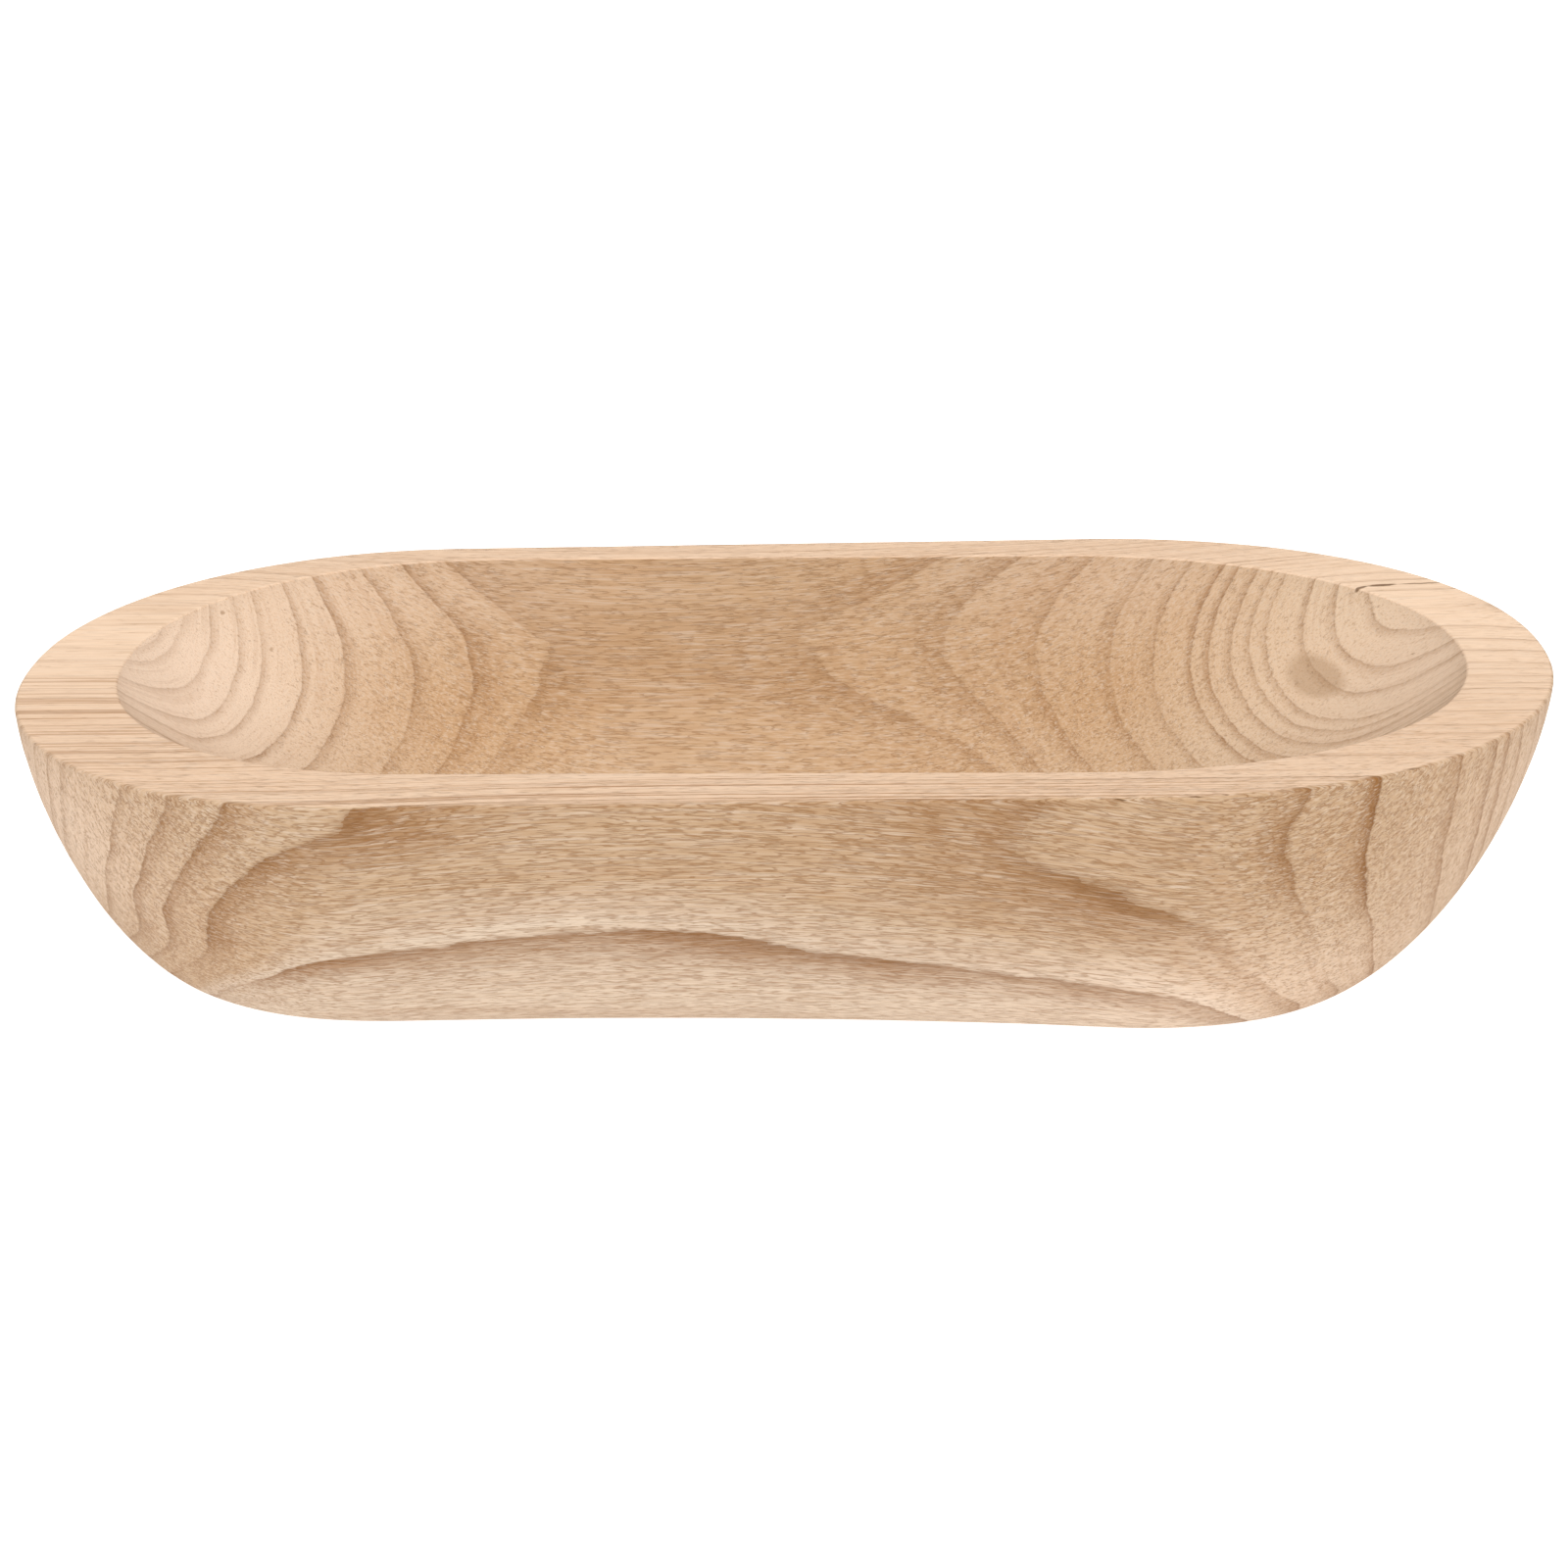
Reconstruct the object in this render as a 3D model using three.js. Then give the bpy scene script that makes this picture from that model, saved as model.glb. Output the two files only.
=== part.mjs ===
// A long wooden bowl, carved from one block: straight sides, rounded ends, a broad flat rim,
// a scooped hollow and a flat, slightly waisted foot.
// Millimetres, +Z up. The origin is on the resting face under the middle of the bowl,
// +X runs along its length and +Y across it.

import * as THREE from 'three';

// Block: the rim is planed a little out of level, so the right end stands higher.
const bowlLength = 500;
const bowlWidth = 225;
const leftRimHeight = 101;
const rightRimHeight = 113;

// Rim outline from above: each straight side is measured from the middle to where its end rounds off.
const leftStraight = 120;
const rightStraight = 109;
const endRoundness = 2.1;

// Rim: a flat band, wider at the ends, with softened edges.
const leftRimWidth = 31.5;
const rightRimWidth = 27.5;
const sideRimWidth = 18.6;
const rimEdgeRadius = 1.2;

// Hollow: carved by eye, so it sits a little towards the back and turned in the block.
const hollowShiftBack = 2.6;
const hollowTurnDegrees = -1.4;
const hollowLeftStraight = 107;
const hollowRightStraight = 93;
const floorThickness = 23.5;
const floorLeftReach = 74;
const floorRightReach = 58;
const floorWidth = 42;

// Foot: the flat that the bowl stands on, drawn in at the middle of each side.
const footLeftReach = 203;
const footRightReach = 189;
const footWidth = 124;
const footWaist = 12;

// Wall curves: a larger lean keeps the wall upright for longer below the rim,
// and a larger turn rounds it under more tightly.
const outerLean = 1.6;
const outerTurn = 1.6;
const hollowLean = 1.1;
const hollowTurn = 1.36;

// Fineness of the faces.
const endSteps = 36;
const sideSteps = 10;
const wallSteps = 12;
const edgeSteps = 3;

// Height of the rim's flat top above the resting face, at a place along the length.
function rimHeight(x) {
  const middleHeight = (leftRimHeight + rightRimHeight) / 2;
  return middleHeight + (x * (rightRimHeight - leftRimHeight)) / bowlLength;
}

// Share of the way from the low outline (0) out to the rim outline (1), at a depth from 0 to 1.
function wallFullness(depth, lean, turn) {
  return (1 - depth ** lean) ** (1 / turn);
}

// Depths from the rim (0) to the low outline (1), closer together where the wall turns under.
function wallDepths() {
  const depths = [];
  for (let step = 0; step <= wallSteps; step++) {
    depths.push(1 - (1 - step / wallSteps) ** 2);
  }
  return depths;
}

// Quarter circle of a softened edge, from the wall (0) to the flat top (a right angle).
function edgeAngles() {
  const angles = [];
  for (let step = 1; step <= edgeSteps; step++) {
    angles.push((step * Math.PI) / (2 * edgeSteps));
  }
  return angles;
}

// Oblong outline, anticlockwise from above: two straight sides and two half-superellipse ends.
function oblongOutline({ leftReach, rightReach, leftSide, rightSide, halfWidth }) {
  const points = [];
  const ends = [
    { direction: 1, reach: rightReach, side: rightSide, nextSide: leftSide },
    { direction: -1, reach: leftReach, side: leftSide, nextSide: rightSide },
  ];
  for (const { direction, reach, side, nextSide } of ends) {
    for (let step = 0; step <= endSteps; step++) {
      const angle = Math.PI * (step / endSteps - 0.5);
      const along = Math.max(0, Math.cos(angle)) ** (2 / endRoundness);
      const across = Math.sign(angle) * Math.abs(Math.sin(angle)) ** (2 / endRoundness);
      const x = direction * (side + (reach - side) * along);
      points.push(new THREE.Vector2(x, direction * halfWidth * across));
    }
    for (let step = 1; step < sideSteps; step++) {
      const x = THREE.MathUtils.lerp(direction * side, -direction * nextSide, step / sideSteps);
      points.push(new THREE.Vector2(x, direction * halfWidth));
    }
  }
  return points;
}

// Outline of the outside at a depth, moved in by an inset and drawn in at the waist towards the foot.
function outerOutline(depth, inset) {
  const fullness = wallFullness(depth, outerLean, outerTurn);
  const leftReach = THREE.MathUtils.lerp(footLeftReach, bowlLength / 2, fullness) - inset;
  const rightReach = THREE.MathUtils.lerp(footRightReach, bowlLength / 2, fullness) - inset;
  const halfWidth = THREE.MathUtils.lerp(footWidth / 2, bowlWidth / 2, fullness) - inset;
  const outline = oblongOutline({
    leftReach,
    rightReach,
    leftSide: leftStraight,
    rightSide: rightStraight,
    halfWidth,
  });
  const waistShare = (footWaist / (footWidth / 2)) * (1 - fullness);
  const middleReach = (leftReach + rightReach) / 2;
  for (const point of outline) {
    point.y *= 1 - waistShare * Math.max(0, 1 - (point.x / middleReach) ** 2);
  }
  return outline;
}

// Outline of the hollow at a depth, moved out by an outset, then turned and shifted to its place.
function hollowOutline(depth, outset) {
  const fullness = wallFullness(depth, hollowLean, hollowTurn);
  const mouthLeftReach = bowlLength / 2 - leftRimWidth;
  const mouthRightReach = bowlLength / 2 - rightRimWidth;
  const mouthHalfWidth = bowlWidth / 2 - sideRimWidth;
  const outline = oblongOutline({
    leftReach: THREE.MathUtils.lerp(floorLeftReach, mouthLeftReach, fullness) + outset,
    rightReach: THREE.MathUtils.lerp(floorRightReach, mouthRightReach, fullness) + outset,
    leftSide: hollowLeftStraight * fullness,
    rightSide: hollowRightStraight * fullness,
    halfWidth: THREE.MathUtils.lerp(floorWidth / 2, mouthHalfWidth, fullness) + outset,
  });
  const middle = new THREE.Vector2(0, 0);
  const shift = new THREE.Vector2(0, hollowShiftBack);
  for (const point of outline) {
    point.rotateAround(middle, THREE.MathUtils.degToRad(hollowTurnDegrees)).add(shift);
  }
  return outline;
}

// Ring of points in space: an outline lifted to a height that may change along the length.
function liftOutline(outline, heightAt) {
  return outline.map(({ x, y }) => new THREE.Vector3(x, y, heightAt(x)));
}

// Rings of the whole bowl, from the foot up the outside, over the rim and down the hollow.
function bowlRings() {
  const rings = [];
  const wallTop = (x) => rimHeight(x) - rimEdgeRadius;
  for (const depth of wallDepths().reverse()) {
    rings.push(liftOutline(outerOutline(depth, 0), (x) => wallTop(x) * (1 - depth)));
  }
  for (const angle of edgeAngles()) {
    const inset = rimEdgeRadius * (1 - Math.cos(angle));
    const rise = rimEdgeRadius * Math.sin(angle);
    rings.push(liftOutline(outerOutline(0, inset), (x) => wallTop(x) + rise));
  }
  for (const angle of edgeAngles().reverse()) {
    const outset = rimEdgeRadius * (1 - Math.cos(angle));
    const rise = rimEdgeRadius * Math.sin(angle);
    rings.push(liftOutline(hollowOutline(0, outset), (x) => wallTop(x) + rise));
  }
  for (const depth of wallDepths()) {
    const heightAt = (x) => THREE.MathUtils.lerp(wallTop(x), floorThickness, depth);
    rings.push(liftOutline(hollowOutline(depth, 0), heightAt));
  }
  return rings;
}

// Closed skin through the rings, with a fan of triangles over the first and the last ring.
function loftGeometry(rings, firstCentre, lastCentre) {
  const around = rings[0].length;
  const points = [...rings.flat(), firstCentre, lastCentre];
  const firstIndex = points.length - 2;
  const lastIndex = points.length - 1;
  const lastRing = (rings.length - 1) * around;
  const triangles = [];
  for (let step = 0; step < around; step++) {
    const next = (step + 1) % around;
    triangles.push(firstIndex, next, step);
    for (let ring = 0; ring < lastRing; ring += around) {
      const above = ring + around;
      triangles.push(ring + step, ring + next, above + next);
      triangles.push(ring + step, above + next, above + step);
    }
    triangles.push(lastRing + step, lastRing + next, lastIndex);
  }
  const geometry = new THREE.BufferGeometry().setFromPoints(points);
  geometry.setIndex(triangles);
  geometry.computeVertexNormals();
  return geometry;
}

const paleWood = new THREE.MeshStandardMaterial({ color: '#cfa983', roughness: 0.72, metalness: 0 });

const footCentre = new THREE.Vector3(0, 0, 0);
const floorCentre = new THREE.Vector3(0, hollowShiftBack, floorThickness);

const bowl = new THREE.Mesh(loftGeometry(bowlRings(), footCentre, floorCentre), paleWood);
bowl.name = 'bowl';

const part = new THREE.Group();
part.add(bowl);

export default part;
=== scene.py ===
# %% [markdown]
# # A long wooden bowl
# The bowl is one block of pale, light wood, hollowed from above and left unvarnished.
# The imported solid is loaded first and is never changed: it fixes the size, the place and the axes.
# What this lesson adds is the surface. It makes one finer skin on the same form and fills it with wood.

# %% Load the solid bowl
import math

import bpy
import numpy as np
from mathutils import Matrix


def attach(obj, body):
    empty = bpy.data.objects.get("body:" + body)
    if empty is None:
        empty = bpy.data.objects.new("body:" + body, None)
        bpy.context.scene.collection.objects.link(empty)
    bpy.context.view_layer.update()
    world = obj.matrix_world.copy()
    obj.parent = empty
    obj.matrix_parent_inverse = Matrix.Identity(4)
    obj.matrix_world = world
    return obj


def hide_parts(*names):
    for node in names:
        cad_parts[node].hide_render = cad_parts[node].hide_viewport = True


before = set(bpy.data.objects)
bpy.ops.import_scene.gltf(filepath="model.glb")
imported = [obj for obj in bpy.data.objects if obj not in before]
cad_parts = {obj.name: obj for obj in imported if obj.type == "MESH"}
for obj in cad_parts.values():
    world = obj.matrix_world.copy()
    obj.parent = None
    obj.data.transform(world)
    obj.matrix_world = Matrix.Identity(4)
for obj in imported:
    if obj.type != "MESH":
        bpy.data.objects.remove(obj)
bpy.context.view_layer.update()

# %% [markdown]
# ## Camera
# The bowl is seen from the front and from a little above, so the hollow and the outer wall both show.
# The camera could be placed by eye, but a bowl gives a better way: its rim is flat, so the outline of
# the rim in a square picture of 1600 pixels leaves few places, tilts and lenses that agree with it.

# %% Camera at the photograph's angle
MM = 0.001

camera_place = (18.2, -780.5, 422.5)
camera_tilt_down_degrees = 24.865
camera_turn_degrees = 1.236
lens_length = 58.51
sensor_width = 36

camera = bpy.data.objects.new("camera", bpy.data.cameras.new("camera"))
camera.location = [value * MM for value in camera_place]
camera.rotation_euler = (math.radians(90 - camera_tilt_down_degrees), 0, math.radians(camera_turn_degrees))
camera.data.lens = lens_length
camera.data.sensor_width = sensor_width
bpy.context.scene.collection.objects.link(camera)
bpy.context.scene.camera = camera
print("Camera", [round(value, 4) for value in camera.location], "lens", lens_length, "mm")

# %% [markdown]
# ## Sizes of the block
# These are the sizes of the solid, in millimetres. The rim is planed a little out of level, the two
# ends are rounded by eye and differ, and the hollow is carved a little askew in the block.

# %% Sizes of the bowl
bowl_length = 500
bowl_width = 225
left_rim_height = 101
right_rim_height = 113
left_straight = 120
right_straight = 109
end_roundness = 2.1
left_rim_width = 31.5
right_rim_width = 27.5
side_rim_width = 18.6
rim_edge_radius = 1.2

hollow_shift_back = 2.6
hollow_turn_degrees = -1.4
hollow_left_straight = 107
hollow_right_straight = 93
floor_thickness = 23.5
floor_left_reach = 74
floor_right_reach = 58
floor_width = 42

foot_left_reach = 203
foot_right_reach = 189
foot_width = 124
foot_waist = 12

outer_lean = 1.6
outer_turn = 1.6
hollow_lean = 1.1
hollow_turn = 1.36
print("Bowl", bowl_length, "x", bowl_width, "x", right_rim_height, "mm")

# %% [markdown]
# ## Outline from above
# Seen from above, the bowl is an oblong: two straight sides joined by two rounded ends. Half an ellipse
# would look too pointed and a rectangle too boxy, so each end is half of a superellipse, which has a
# roundness to set. One function draws every level of the bowl, because each level is such an oblong.

# %% Oblong outline
end_steps = 150
side_steps = 60


def oblong_outline(left_reach, right_reach, left_side, right_side, half_width):
    """One turn round an oblong, anticlockwise from above.

    On an end, x = side + (reach - side) * cos(angle) ** (2 / roundness) and
    y = half width * sin(angle) ** (2 / roundness). Straight lines join the two ends.
    The sizes may be columns, one row for each level.
    """
    angle = np.linspace(-math.pi / 2, math.pi / 2, end_steps + 1)
    along = np.maximum(np.cos(angle), 0) ** (2 / end_roundness)
    across = np.sign(angle) * np.abs(np.sin(angle)) ** (2 / end_roundness)
    step = np.linspace(0, 1, side_steps + 1)[1:-1]
    right_end = right_side + (right_reach - right_side) * along
    left_end = -left_side - (left_reach - left_side) * along
    back_side = right_side - (right_side + left_side) * step * np.ones_like(half_width)
    x = np.concatenate([right_end, back_side, left_end, back_side[..., ::-1]], axis=-1)
    y = np.concatenate([across, np.ones_like(step), -across, -np.ones_like(step)])
    return x, half_width * y


print("Points round the bowl:", 2 * (end_steps + side_steps))

# %% [markdown]
# ## Walls
# The outer wall stands nearly upright below the rim and turns under to the foot. The hollow is the
# other way round: it leans in from the mouth and levels out to a floor. A drawn profile would need many
# points, so both walls use one curve that gives how much of the rim's size is left at a depth.

# %% Walls of the bowl
def blend(start, end, share):
    """Straight mix: start where the share is 0, end where it is 1."""
    return start + (end - start) * share


def wall_fullness(depth, lean, turn):
    """Share of the rim's size at a depth from 0 to 1: (1 - depth ** lean) ** (1 / turn)."""
    return (1 - depth**lean) ** (1 / turn)


def rim_height(x):
    """Height of the planed rim: a straight slope from the left end to the right end."""
    return blend(left_rim_height, right_rim_height, x / bowl_length + 0.5)


def outer_outline(depth, inset):
    """Oblong between the foot and the rim, drawn in at the waist by a parabola along x."""
    fullness = wall_fullness(depth, outer_lean, outer_turn)
    left_reach = blend(foot_left_reach, bowl_length / 2, fullness) - inset
    right_reach = blend(foot_right_reach, bowl_length / 2, fullness) - inset
    half_width = blend(foot_width / 2, bowl_width / 2, fullness) - inset
    x, y = oblong_outline(left_reach, right_reach, left_straight, right_straight, half_width)
    waist_share = foot_waist / (foot_width / 2) * (1 - fullness)
    middle_reach = (left_reach + right_reach) / 2
    return x, y * (1 - waist_share * np.maximum(0, 1 - (x / middle_reach) ** 2))


def hollow_outline(depth, outset):
    """Oblong between the floor and the mouth, turned and shifted to where it was carved."""
    fullness = wall_fullness(depth, hollow_lean, hollow_turn)
    x, y = oblong_outline(
        blend(floor_left_reach, bowl_length / 2 - left_rim_width, fullness) + outset,
        blend(floor_right_reach, bowl_length / 2 - right_rim_width, fullness) + outset,
        hollow_left_straight * fullness,
        hollow_right_straight * fullness,
        blend(floor_width / 2, bowl_width / 2 - side_rim_width, fullness) + outset,
    )
    turn = math.radians(hollow_turn_degrees)
    turned_x = x * math.cos(turn) - y * math.sin(turn)
    turned_y = x * math.sin(turn) + y * math.cos(turn)
    return turned_x, turned_y + hollow_shift_back


print("Wall fullness at half depth:", round(wall_fullness(0.5, outer_lean, outer_turn), 3))

# %% [markdown]
# ## Skin of the bowl
# The whole skin is one grid. Its columns go round the bowl, and its rows go from the foot up the
# outside, over the rim and down the hollow. A solid cut by another solid would give a rough edge where
# they meet, but rows that turn over the rim give the edge its small sanded radius. The outer wall comes
# first. Its rows lie closer together towards the foot, where it curves most.

# %% Rows of the outer wall
outer_rows = 76


def column(values):
    """Turns a list of row values into a column, so that each one makes a row of the grid."""
    return np.asarray(values, float)[:, None]


def wall_depths(row_count):
    """Depths from the rim (0) to the bottom (1), closer together at the bottom: 1 - (1 - share) ** 2."""
    return 1 - (1 - column(np.linspace(0, 1, row_count))) ** 2


def lift(outline, height):
    """Rows of points from an outline (x, y) and a height that may follow x."""
    x, y = outline
    return np.stack([x, y, np.broadcast_to(height, x.shape)], axis=-1)


outer_depth = wall_depths(outer_rows)
outer_side = outer_outline(outer_depth, 0)
outer_height = (rim_height(outer_side[0]) - rim_edge_radius) * (1 - outer_depth)
outer_wall = lift(outer_side, outer_height)[::-1]
print("Outer wall of", len(outer_wall), "rows, up to", outer_wall[..., 2].max().round(1), "mm")

# %% [markdown]
# Both edges of the rim are sanded round, so their section is a part of a circle. The outer wall is upright
# at the top, and its edge turns through a right angle. The wall of the hollow leans, so its edge turns
# less, and the hollow goes on from where the edge ends.

# %% Sanded edges and hollow
edge_rows = 5
hollow_rows = 96
mouth_lean_degrees = 32


def rounded_edge(outline, start_angle):
    """Rows over an edge: onto the rim by radius * (1 - cos(angle)), down by radius * (1 - sin(angle))."""
    angle = column(np.linspace(start_angle, math.pi / 2, edge_rows + 1)[1:])
    side = outline(0 * angle, rim_edge_radius * (1 - np.cos(angle)))
    return lift(side, rim_height(side[0]) - rim_edge_radius * (1 - np.sin(angle)))


mouth_lean = math.radians(mouth_lean_degrees)
outer_edge = rounded_edge(outer_outline, 0)
hollow_edge = rounded_edge(hollow_outline, mouth_lean)[::-1]

hollow_depth = wall_depths(hollow_rows)
hollow_side = hollow_outline(hollow_depth, rim_edge_radius * (1 - math.cos(mouth_lean)) * (1 - hollow_depth))
hollow_top = rim_height(hollow_side[0]) - rim_edge_radius * (1 - math.sin(mouth_lean))
hollow_wall = lift(hollow_side, blend(hollow_top, floor_thickness, hollow_depth))
print("Edges of", edge_rows, "rows each and a hollow of", len(hollow_wall), "rows")

# %% [markdown]
# Three flat parts are left: the rim between its edges, the foot and the floor of the hollow. Straight
# rows fill them, and then all rows are stacked into one grid.

# %% Foot, rim and floor
rim_rows = 16
flat_rows = 12


def rows_between(start_row, end_row, count):
    """Rows strictly between two rows, by straight mixes of their points."""
    share = column(np.linspace(0, 1, count + 2)[1:-1])[..., None]
    return blend(start_row[None], end_row[None], share)


foot_centre = np.zeros(3)
floor_centre = np.array([0, hollow_shift_back, floor_thickness])
foot = rows_between(np.broadcast_to(foot_centre, outer_wall[0].shape), outer_wall[0], flat_rows)
rim = rows_between(outer_edge[-1], hollow_edge[0], rim_rows)
floor = rows_between(hollow_wall[-1], np.broadcast_to(floor_centre, hollow_wall[-1].shape), flat_rows)

skin = np.concatenate([foot, outer_wall, outer_edge, rim, hollow_edge, hollow_wall, floor])
print("Skin of", skin.shape[0], "rows and", skin.shape[1], "columns")

# %% [markdown]
# ## Growth rings
# The lines on a carved bowl are the tree's growth rings, cut through at many angles. Painted lines would
# never meet at the edges. So the rings are laid through the whole block first, as in the tree,
# and the skin then cuts them: U shapes at the ends of the hollow, long stripes on the rim and arches on
# the outer wall all come from the same set of rings. They lie round the pith, the middle of the trunk,
# which runs along the block a little above the rim and bends on its way.

# %% Pith of the tree
half_length = bowl_length / 2
pith_across = (21.8, 3.9, 20.8)
pith_height = (142.4, -5.5, -3.8)
ring_flattening = 1.022
trunk_bend_reach = 195
trunk_ease = 16


def along_trunk(point, terms):
    """Value that follows the trunk: a + b t + c t^2, where t goes from -1 to 1 along the block.

    Past the reach of the bend the trunk runs straight: the excess e adds only ease * (1 - exp(-e / ease)).
    """
    reach = np.abs(point[..., 0])
    past = np.maximum(reach - trunk_bend_reach, 0)
    eased = reach - past + trunk_ease * (1 - np.exp(-past / trunk_ease))
    return np.polynomial.polynomial.polyval(np.sign(point[..., 0]) * eased / half_length, terms)


def from_pith(point):
    """How far a point lies across from the pith and above it, in millimetres."""
    across = point[..., 1] - along_trunk(point, pith_across)
    return across, ring_flattening * (point[..., 2] - along_trunk(point, pith_height))


print("Pith in the middle of the block:", pith_across[0], "mm back and", pith_height[0], "mm up")

# %% [markdown]
# Grain bulges round old branches and wounds, and the rings bend there. A bell shape is a simple bulge: it
# has a place, a reach and a height, and it fades out softly on all sides. The same bells serve later for
# whatever else happens at one place in the block.

# %% Swells of the grain
# Each swell has its centre, its reach along x, y and z, and its height.
grain_swells = [
    ((-127, -112, 97), (36, 30, 16), -2.5),
    ((95, -112, 94), (52, 30, 17), -1.9),
    ((-191, -14, 81), (23, 35, 17), -4.5),
    ((228, 25, 112), (42, 60, 20), 7.0),
    ((-178, -100, 99), (34, 30, 13), -1.5),
    ((-187, -86, 59), (32, 30, 11), 1.2),
    ((-190, -77, 38), (34, 30, 11), -1.5),
    ((-128, -94, 42), (34, 30, 22), -1.3),
    ((150, -106, 92), (20, 30, 12), -0.9),
    ((116, -104, 68), (26, 30, 12), -0.7),
    ((180, -85, 48), (34, 30, 16), 0.8),
    ((-40, -99, 56), (45, 30, 18), 0.9),
]


def bells(point, swells):
    """Sum of bell shapes, each height * exp(-distance^2), with the distance counted in its reaches."""
    total = np.zeros(point.shape[:-1])
    for centre, reach, height in swells:
        away = ((point - np.array(centre)) / np.array(reach)) ** 2
        total = total + height * np.exp(-away.sum(axis=-1))
    return total


print("Swells of the grain:", len(grain_swells))

# %% [markdown]
# A tree seldom grows evenly on all sides, so a ring isn't centred on the pith: the larger it is, the further
# it has drifted off. With this drift, a slow taper and the swells, every point of the block has a growth,
# which is the size of the ring that it lies on.

# %% Growth from the pith
ring_drift = (-0.148, -0.201)
ring_taper = (0, -2.7, -20.3)


def ring_distance(point):
    """Growth from the pith to a point, in millimetres.

    The pith is a parabola along the block. A ring of radius r is a circle whose centre has drifted by
    drift * r from the pith, so r solves |p - drift * r| = r. A taper along the block and a few
    bell-shaped swells are added to r.
    """
    across, above = from_pith(point)
    drifted = across * ring_drift[0] + above * ring_drift[1]
    room = 1 - ring_drift[0] ** 2 - ring_drift[1] ** 2
    distance = (np.sqrt(drifted**2 + room * (across**2 + above**2)) - drifted) / room
    return distance + along_trunk(point, ring_taper) + bells(point, grain_swells)


def grain_place(point):
    """Place in the tree: along the trunk, outwards by growth and around the pith, in millimetres."""
    across, above = from_pith(point)
    around = np.arctan2(across, -above) * np.hypot(across, above)
    return np.stack([point[..., 0], ring_distance(point), around], axis=-1)


poles = np.array([foot_centre, floor_centre])
smooth_points = np.concatenate([skin.reshape(-1, 3), poles])
grain = grain_place(smooth_points)
print("Growth from the pith:", grain[:, 1].min().round(1), "to", grain[:, 1].max().round(1), "mm")

# %% [markdown]
# A tree grows more in some years than in others, so the rings are not evenly spaced, and some years
# begin darker than others. Each ring is given by its growth at the left and at the right end of the
# block, by its darkness at these ends and by the depth of its early wood.

# %% Rings from the pith outwards
# Growth at the left and at the right, darkness at the left and at the right, and depth of the early wood.
growth_rings = [
    (-11, -5, 0.5, 0.5, 2.4), (-5, 2, 0.5, 0.5, 2.4), (1, 8, 0.5, 0.5, 2.4), (7, 14.8, 0.5, 0.6, 2.4),
    (17, 22, 0.3, 0.7, 2.4), (21.5, 28.4, 0.3, 0.7, 2.4), (25.9, 36.6, 0.28, 0.5, 2.2),
    (29, 39.6, 0.28, 0.5, 2.2), (35.7, 43.6, 0.4, 0.5, 2.4), (42.6, 48.4, 0.42, 0.6, 2.4),
    (47.6, 51.5, 0.45, 0.75, 2.2), (56.2, 58.5, 0.8, 0.45, 2.4), (64.1, 65.1, 0.7, 0.45, 2.8),
    (74.7, 73.5, 0.5, 0.45, 3), (81.4, 79, 0.65, 0.45, 3), (86, 83.1, 0.45, 0.45, 3),
    (99.5, 92, 0.5, 0.5, 3), (105.7, 105, 0.6, 1.15, 3.2), (110.6, 111.4, 0.68, 0.72, 2.6),
    (115.2, 116.6, 1, 0.8, 3.4), (121.6, 121.7, 0.85, 0.85, 3.0), (136, 136, 0.5, 0.5, 3),
    (145, 145, 0.5, 0.5, 3), (153, 153, 0.5, 0.5, 3), (162, 162, 0.5, 0.5, 3),
]
left_growth, right_growth, left_darkness, right_darkness, ring_early = np.array(growth_rings, float).T
print("Growth rings:", len(growth_rings))

# %% [markdown]
# At every point of the skin the rings are then counted. The count is whole at the start of each ring and
# rises evenly in between, so its whole part names the ring and the rest tells how far it has grown. Along
# the block the rings change softly from their left growth to their right growth.

# %% Rings counted outwards
left_growth_ends = -90
right_growth_starts = 130


def smooth_step(value, start, end):
    """Soft rise from 0 at the start to 1 at the end: 3 t^2 - 2 t^3."""
    share = np.clip((value - start) / (end - start), 0, 1)
    return share * share * (3 - 2 * share)


right_share = smooth_step(grain[:, 0], left_growth_ends, right_growth_starts)
ring_start = blend(left_growth, right_growth, right_share[:, None])
ring_count = np.clip((grain[:, 1:2] - ring_start[:, :-1]) / np.diff(ring_start), 0, 1).sum(axis=1)
ring_middle = np.arange(len(growth_rings) - 1) + 0.5
left_width = np.interp(ring_count, ring_middle, np.diff(left_growth))
right_width = np.interp(ring_count, ring_middle, np.diff(right_growth))
ring_width = blend(left_width, right_width, right_share)
print("Rings cut by the skin:", ring_count.min().round(2), "to", ring_count.max().round(2))

# %% [markdown]
# Each ring begins with a brown line and a band of early wood. Their darkness and depth belong to the ring,
# so they follow the count. The lines also fade in places, most where the outer wall turns under.

# %% Darkness and early wood of the rings
# A ring's depth of early wood holds between these two counts from its line.
early_hold = (-0.15, 0.6)

# Each fading has its centre, its reach along x, y and z, and its change.
line_fading = [
    ((168, -84, 34), (54, 40, 28), -0.9),
    ((138, -97, 56), (26, 24, 18), -0.5),
    ((-188, -68, 22), (30, 40, 14), -0.8),
    ((-196, -98, 100), (26, 30, 14), -0.5),
    ((-234, -52, 82), (24, 40, 40), -0.55),
    ((-15, -112, 98), (85, 30, 26), -0.75),
    ((0, 5, 26), (90, 60, 22), -0.45),
    ((-178, -82, 36), (20, 30, 14), -0.35),
    ((222, -20, 97), (18, 40, 16), -0.6),
]

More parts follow.
